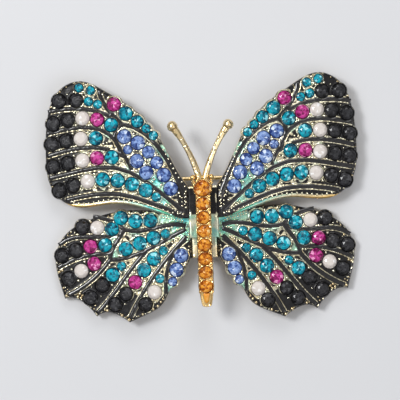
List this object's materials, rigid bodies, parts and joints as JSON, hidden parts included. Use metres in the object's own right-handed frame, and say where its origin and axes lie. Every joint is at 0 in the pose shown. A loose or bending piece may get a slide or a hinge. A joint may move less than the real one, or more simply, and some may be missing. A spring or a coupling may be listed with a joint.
{
  "type": "butterfly brooch",
  "caption": "Butterfly brooch: two riveted wing castings under a body casting, set with round chatons in black-enamelled veins, with a hinged pin and a turning catch behind.",
  "frame": {"origin": "on the surface that the brooch lies on, under the middle of its outline, in line with the body", "axes": "+X to the viewer's right across the wings, +Y towards the head, +Z out of the stone-set face"},
  "size_m": [0.0584, 0.045, 0.0086],
  "materials": {
    "antique_gold": "gold plate with blackened recesses and a green-blue tint",
    "bright_gold": "polished gold plate",
    "pin_steel": "gold-plated spring wire",
    "black_enamel": "glossy cold enamel",
    "amber_enamel": "clear amber cold enamel",
    "jet_glass": "cut black glass",
    "opal_glass": "milky glass",
    "fuchsia_glass": "foiled cut glass",
    "teal_glass": "foiled cut glass",
    "sapphire_glass": "foiled cut glass",
    "amber_glass": "foiled cut glass"
  },
  "bodies": {
    "brooch": {"amber_stone_head": "amber_glass", "amber_stones_body": "amber_glass", "antenna_left": "bright_gold", "antenna_right": "bright_gold", "body_casting": "bright_gold", "catch_base": "bright_gold", "enamel_forewing_left": "black_enamel", "enamel_forewing_right": "black_enamel", "enamel_hindwing_left": "black_enamel", "enamel_hindwing_right": "black_enamel", "eye_beads": "bright_gold", "forewing_casting": "antique_gold", "fuchsia_stones_forewing_left": "fuchsia_glass", "fuchsia_stones_forewing_right": "fuchsia_glass", "fuchsia_stones_hindwing_left": "fuchsia_glass", "fuchsia_stones_hindwing_right": "fuchsia_glass", "hindwing_casting": "antique_gold", "hinge_base": "bright_gold", "hinge_pivot": "bright_gold", "jet_stones_forewing_left": "jet_glass", "jet_stones_forewing_right": "jet_glass", "jet_stones_hindwing_left": "jet_glass", "jet_stones_hindwing_right": "jet_glass", "opal_stones_forewing_left": "opal_glass", "opal_stones_forewing_right": "opal_glass", "opal_stones_hindwing_left": "opal_glass", "opal_stones_hindwing_right": "opal_glass", "rivet_washers": "bright_gold", "sapphire_stones_forewing_left": "sapphire_glass", "sapphire_stones_forewing_right": "sapphire_glass", "sapphire_stones_hindwing_left": "sapphire_glass", "sapphire_stones_hindwing_right": "sapphire_glass", "tail_enamel": "amber_enamel", "teal_stones_forewing_left": "teal_glass", "teal_stones_forewing_right": "teal_glass", "teal_stones_hindwing_left": "teal_glass", "teal_stones_hindwing_right": "teal_glass"},
    "pin": {"pin_stem": "pin_steel"},
    "sleeve": {"catch_sleeve": "bright_gold"}
  },
  "joints": [
    {"name": "pin_hinge", "type": "hinge", "parent": "brooch", "child": "pin", "pos_m": [-0.013, 0.0037, 0.0012], "axis": [0, 1, 0], "range_deg": [0, 85]},
    {"name": "catch_turn", "type": "hinge", "parent": "brooch", "child": "sleeve", "pos_m": [0.013, 0.0037, 0.0012], "axis": [1, 0, 0], "range_deg": [0, 90]}
  ]
}
